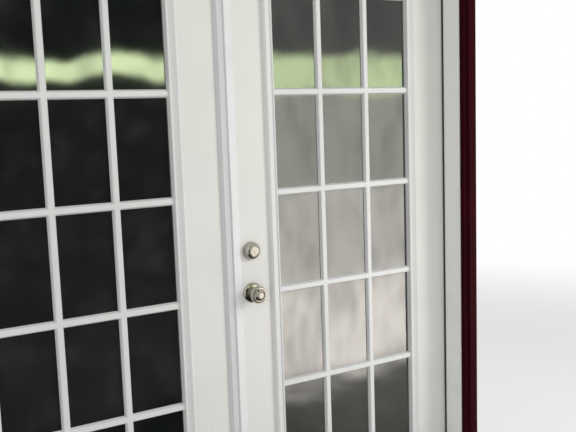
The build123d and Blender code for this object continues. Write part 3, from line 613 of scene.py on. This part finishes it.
lock_x, _, latch_z = axis_places["knob_turn"]
deadbolt_z = axis_places["deadbolt_turn"][2]
plate_screw, strike_screw = 0.0225, 0.022
post_edge, lock_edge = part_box("astragal_post")[1].x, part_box("right_slab")[0].x
plate_faces = (("strike", post_edge, 1, "left_door"), ("faceplate", lock_edge, -1, "right_door"))
for kind, x, facing, body in plate_faces:
    places = [
        ((x, leaf_thickness / 2, middle + end * plate_screw), (facing, 0, 0), (0, 1, 0))
        for middle in (latch_z, deadbolt_z)
        for end in (-1, 1)
    ]
    screws(f"{kind}_screws", 3.3, places, strike_nickel, body, "strike_metal")
head_strike, sill_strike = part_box("head_bolt_strike"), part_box("sill_bolt_strike")
flush_bolt_x = (head_strike[0].x + head_strike[1].x) / 2
places = [
    ((flush_bolt_x + end * strike_screw, leaf_thickness / 2, z), (0, 0, facing), (1, 0, 0))
    for z, facing in ((head_strike[0].z, -1), (sill_strike[1].z, 1))
    for end in (-1, 1)
]
screws("bolt_strike_screws", 3.0, places, strike_nickel, "frame", "strike_metal")

# Knobs and deadbolt trim
# Turned brass in satin nickel plate, with the lathe's rings still faint on its faces. A knob runs in
# a domed rose on each side, and the deadbolt has a tapered collar outside and a plate inside.


def eased(corners, wrap, steps=6):
    """Round a profile: a corner (radius, height, ease) becomes the curve from ease before it to
    ease after it, p = (1 - t)^2 a + 2 t (1 - t) corner + t^2 b."""
    points = []
    for number, (radius, height, ease) in enumerate(corners):
        corner = np.array((radius, height))
        ends = number in (0, len(corners) - 1) and not wrap
        if ends or not ease:
            points.append(corner)
            continue
        sides = []
        for other in (corners[number - 1], corners[(number + 1) % len(corners)]):
            way = np.array(other[:2]) - corner
            sides.append(corner + way * min(ease / np.linalg.norm(way), 0.5))
        for t in np.linspace(0, 1, steps):
            points.append((1 - t) ** 2 * sides[0] + 2 * t * (1 - t) * corner + t**2 * sides[1])
    return points


def turned_piece(name, height, face, out, corners, wrap, body, node):
    """Turn a profile about a lock's axis: radii and heights in mm, the latter off the leaf's face."""
    rings = circle_rings(eased(corners, wrap), 96)
    place = np.array((lock_x, face, height))
    axes = np.array(((1.0, 0.0, 0.0), (0.0, 0.0, -out), (0.0, out, 0.0)))
    vertices = rings.reshape(-1, 3) @ axes + place
    faces = tube_faces(rings.shape[0], rings.shape[1], 0, wrap)
    made = piece(name, vertices, faces, trim_nickel[height], body, "trim_nickel", 24.0)
    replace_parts(made, node)


def lathed(name, colour, centre):
    """Satin plate with rings about a lock's axis, 0.35 mm apart, and a worn, darker bloom."""
    metal = Finish(name)
    radius = ((metal.x - centre[0]) ** 2 + (metal.z - centre[1]) ** 2) ** 0.5
    rings = metal.node("ShaderNodeMath", {"operation": "SINE"}, {0: radius * 18000.0})
    bloom = metal.noise(70.0, 4.0).between(0.42, 0.72)
    dark = tuple(0.62 * channel for channel in colour)
    return metal.made(
        base_color=metal.blend(bloom * 0.35, colour, dark),
        metallic=1.0,
        roughness=0.17 + bloom * 0.10,
        normal=metal.relief(rings, 0.000003),
    )


satin = (0.47, 0.44, 0.395)
# Each lock has its own finish, by the height of its axis, because the rings run round that axis.
trim_nickel = {
    latch_z: lathed("knob_nickel", satin, (lock_x, latch_z)),
    deadbolt_z: lathed("deadbolt_nickel", satin, (lock_x, deadbolt_z)),
}
rose_profile = [
    (33.5, 0.0, 0.0), (33.5, 2.6, 1.4), (31.0, 5.6, 2.5), (24.5, 9.2, 4.0), (19.2, 10.6, 1.2),
    (18.6, 9.9, 0.3), (17.5, 10.4, 0.4), (17.5, 14.9, 1.2), (11.4, 14.9, 0.5), (11.4, 0.0, 0.0),
]
knob_profile = [
    (11.0, 1.0, 0.0), (11.0, 22.0, 5.0), (22.5, 27.5, 7.0), (28.5, 36.0, 6.0), (28.5, 47.0, 4.0),
    (25.5, 52.2, 2.5), (21.2, 53.0, 0.8), (20.4, 51.0, 0.4), (19.2, 51.0, 0.4), (18.6, 53.4, 0.8),
    (12.0, 57.6, 3.0), (10.9, 60.9, 0.9), (9.9, 61.9, 0.5), (9.1, 61.9, 0.3), (8.9, 60.8, 0.0),
]
collar_profile = [
    (30.0, 0.0, 0.0), (30.0, 3.2, 1.2), (28.0, 13.8, 7.0), (22.4, 21.8, 5.5), (16.4, 24.7, 1.4),
    (15.4, 23.9, 0.3), (14.6, 24.2, 0.3), (14.2, 25.0, 0.4), (9.05, 25.0, 0.5), (9.05, 0.0, 0.0),
]
plate_profile = [
    (30.0, 0.0, 0.0), (30.0, 6.2, 2.0), (27.2, 8.9, 1.6), (6.6, 8.9, 0.4), (6.6, 0.0, 0.0),
]
faces_of_leaf = (("outer", 0.0, -1.0), ("inner", leaf_thickness, 1.0))
for side, face, out in faces_of_leaf:
    node = f"knob_{side}_rose"
    turned_piece(f"{side}_rose", latch_z, face, out, rose_profile, True, "right_door", node)
for side, face, out in faces_of_leaf:
    node = f"{side}_knob"
    turned_piece(f"{side}_turned_knob", latch_z, face, out, knob_profile, False, "knob", node)
for name, face, out, profile, node in (
    ("turned_collar", 0.0, -1.0, collar_profile, "deadbolt_collar"),
    ("turned_plate", leaf_thickness, 1.0, plate_profile, "deadbolt_inner_plate"),
):
    turned_piece(name, deadbolt_z, face, out, profile, True, "right_door", node)
clad(trim_nickel[deadbolt_z], "thumb_turn", "deadbolt_cylinder")

keyway = edged([(1.0, -4.0), (1.0, 4.0), (-1.0, 4.0), (-1.0, -4.0)], 6)
plug = recessed_head(8.7, 0.3, keyway, 3.0, 0.9)
plug_front, button_base = 0.0612, 0.0610
place = [((lock_x, -plug_front, latch_z), (0, -1, 0), (1, 0, 0))]
piece("knob_key_plug", *studs(plug, place), trim_nickel[latch_z], "knob", "trim_nickel")
button_corners = [
    (2.0, -6.5), (2.0, 6.5), (1.2, 7.5), (-1.2, 7.5),
    (-2.0, 6.5), (-2.0, -6.5), (-1.2, -7.5), (1.2, -7.5),
]
button_outline = edged(button_corners, 2)
button_levels = ((1.0, -1.0), (1.0, 6.2), (0.93, 6.7), (0.8, 6.9))
button = [
    np.column_stack([button_outline * scale, np.full(len(button_outline), z)])
    for scale, z in button_levels
]
button = np.stack(button) / 1000
place = [((lock_x, leaf_thickness + button_base, latch_z), (0, 1, 0), (1, 0, 0))]
piece("knob_turn_button", *studs(button, place), trim_nickel[latch_z], "knob", "trim_nickel")
places = [
    ((lock_x + end * reach, leaf_thickness + height, z), (0, 1, 0), (1, 0, 0))
    for z, reach, height in ((latch_z, 0.0255, 0.0083), (deadbolt_z, 0.0200, 0.0088))
    for end in (-1, 1)
]
screws("inner_plate_screws", 3.2, places, trim_nickel[latch_z], "right_door", "trim_nickel")

# Studio
# A pale floor that fades out into a white backdrop, a soft key from the right, a weak fill from
# the left and a lamp on the room's side. A glazed door shows what stands in front of it, so two
# glowing cards that only reflections see, one upright and one lying, paint a reflection into it: a
# soft view with bright bands.


def floor_paper():
    """Matt pale paper that fades out from 2.6 to 6 metres from the middle."""
    paper = Finish("floor_paper")
    far = (paper.x**2 + paper.y**2) ** 0.5
    return paper.made(
        base_color=(0.86, 0.86, 0.85),
        roughness=0.9,
        specular_ior_level=0.0,
        alpha=far.between(6.0, 2.6),
    )


# The upright card stands outside at y = card_line, parallel to the doors, and the lying one runs
# from its foot nearly up to the sill.
card_left, card_right, card_top = -1.0, 2.8, 2.7
card_line, lying_end, lying_height = -1.4, -0.13, 0.003


def glowing_card():
    """A painted reflection: bands of colour up the card, with soft wandering edges, lit as a share of
    its strength.

    A band is a colour that goes over into the next one around its height in metres. On the lying
    card the height falls on, by a quarter of the way towards the doors. The right part is lit
    evenly. On the left only the band from 1.7 to 1.8 metres is, and below 0 all is dimmed to 30%,
    a painted shade in the reflection.
    """
    card = Finish("glowing_card")
    wander = card.noise(2.2, 4.0) - 0.5
    grain = card.noise(9.0, 5.0, card.stretched(1.0, 1.0, 0.35))
    height = card.z - (card.y - card_line) * 0.25 + wander * 0.22
    tone = (0.05, 0.05, 0.048)
    for low, high, colour in (
        (-0.06, 0.10, (0.88, 0.83, 0.76)),
        (0.44, 0.66, (0.55, 0.53, 0.48)),
        (1.06, 1.16, (0.34, 0.345, 0.30)),
        (1.58, 1.66, (0.62, 0.75, 0.42)),
        (1.80, 1.88, (0.07, 0.065, 0.062)),
    ):
        tone = card.blend(height.between(low, high), tone, colour)
    tone = card.blend(grain.between(0.35, 0.75) * 0.45, tone, (0.12, 0.12, 0.11))
    # The dark left part and the dimmed foot are painted shade in the painted reflection.
    band = height.between(1.68, 1.73) * height.between(1.84, 1.78)
    foot = height.between(-0.12, 0.02)
    right = (card.x + wander * 0.5).between(0.50, 0.95)
    lit = (right * 0.67 + (1.0 - right) * (0.010 + band * 0.99)) * (0.30 + foot * 0.70)
    return card.made(
        base_color=(0.0, 0.0, 0.0),
        emission_color=card.blend(lit, (0.0, 0.0, 0.0), tone),
        emission_strength=9.0,
    )


def staged_sheet(name, corners, material):
    """A flat four-cornered sheet that isn't part of the object."""
    mesh = bpy.data.meshes.new(name)
    mesh.from_pydata(corners, [], [(0, 1, 2, 3)])
    mesh.materials.append(material)
    made = bpy.data.objects.new(name, mesh)
    bpy.context.scene.collection.objects.link(made)
    return made


reach, under_sill = 8.0, -0.001
turns = ((-1, -1), (1, -1), (1, 1), (-1, 1))
corners = [(x * reach, y * reach, under_sill) for x, y in turns]
staged_sheet("floor", corners, floor_paper())
upright = [
    (card_left, card_line, 0.0),
    (card_left, card_line, card_top),
    (card_right, card_line, card_top),
    (card_right, card_line, 0.0),
]
lying = [
    (card_left, card_line, lying_height),
    (card_right, card_line, lying_height),
    (card_right, lying_end, lying_height),
    (card_left, lying_end, lying_height),
]
card_glow = glowing_card()
for name, corners in (("upright_card", upright), ("lying_card", lying)):
    card = staged_sheet(name, corners, card_glow)
    card.visible_camera = False
    card.visible_diffuse = False
    card.visible_shadow = False
    card.visible_transmission = False


def soft_light(name, place, aim, width, height, power):
    """A rectangular lamp that faces the point aim and isn't seen in reflections."""
    lamp = bpy.data.lights.new(name, "AREA")
    lamp.shape = "RECTANGLE"
    lamp.size, lamp.size_y = width, height
    lamp.energy = power
    made = bpy.data.objects.new(name, lamp)
    bpy.context.scene.collection.objects.link(made)
    direction = Vector(aim) - Vector(place)
    turn = direction.to_track_quat("-Z", "Y").to_matrix().to_4x4()
    made.matrix_world = Matrix.Translation(place) @ turn
    made.visible_camera = False
    made.visible_glossy = False


soft_light("key_light", (3.7, -2.7, 2.6), (0.5, 0.0, 1.1), 1.6, 1.6, 88.0)
soft_light("fill_light", (-3.2, -4.0, 2.4), (0.0, 0.0, 1.0), 3.0, 3.0, 30.0)
soft_light("room_light", (0.0, 4.2, 2.8), (0.0, 0.0, 1.1), 3.2, 2.4, 90.0)

# The world is white to the camera, to mirrors and through glass, and lights the object less.
even_light, plain_white = 0.54, 1.0
world = bpy.data.worlds.new("even_sky")
world.use_nodes = True
bpy.context.scene.world = world
sky = world.node_tree
backdrop = sky.nodes["Background"]
backdrop.inputs["Color"].default_value = (1.0, 1.0, 1.0, 1.0)
rays = sky.nodes.new("ShaderNodeLightPath")
seen = rays.outputs["Is Camera Ray"]
for kind in ("Is Transmission Ray", "Is Glossy Ray"):
    either = sky.nodes.new("ShaderNodeMath")
    either.operation = "MAXIMUM"
    sky.links.new(seen, either.inputs[0])
    sky.links.new(rays.outputs[kind], either.inputs[1])
    seen = either.outputs[0]
level = sky.nodes.new("ShaderNodeMapRange")
level.inputs["To Min"].default_value = even_light
level.inputs["To Max"].default_value = plain_white
sky.links.new(seen, level.inputs["Value"])
sky.links.new(level.outputs["Result"], backdrop.inputs["Strength"])

# Camera
# It stands where the photograph was taken from: close on the outside, left of the middle and a
# little above the lock, turned right and down and tilted slightly.

camera_place = (-1.0844, -2.2296, 1.4862)
camera_yaw = math.radians(30.373)
camera_pitch = math.radians(-7.065)
camera_roll = math.radians(-1.968)
camera_focal_px = 774.9
picture_width_px = 576.0

ahead = Vector(
    (
        math.sin(camera_yaw) * math.cos(camera_pitch),
        math.cos(camera_yaw) * math.cos(camera_pitch),
        math.sin(camera_pitch),
    )
)
level_right = Vector((math.cos(camera_yaw), -math.sin(camera_yaw), 0.0))
level_up = level_right.cross(ahead)
tilted_right = level_right * math.cos(camera_roll) + level_up * math.sin(camera_roll)
tilted_up = level_up * math.cos(camera_roll) - level_right * math.sin(camera_roll)
lens = bpy.data.cameras.new("camera")
lens.sensor_fit = "HORIZONTAL"
lens.sensor_width = 36.0
lens.lens = lens.sensor_width * camera_focal_px / picture_width_px
camera = bpy.data.objects.new("camera", lens)
bpy.context.scene.collection.objects.link(camera)
turned = Matrix((tilted_right, tilted_up, -ahead)).transposed().to_4x4()
camera.matrix_world = Matrix.Translation(camera_place) @ turned
bpy.context.scene.camera = camera

bpy.context.scene.view_settings.view_transform = "Standard"
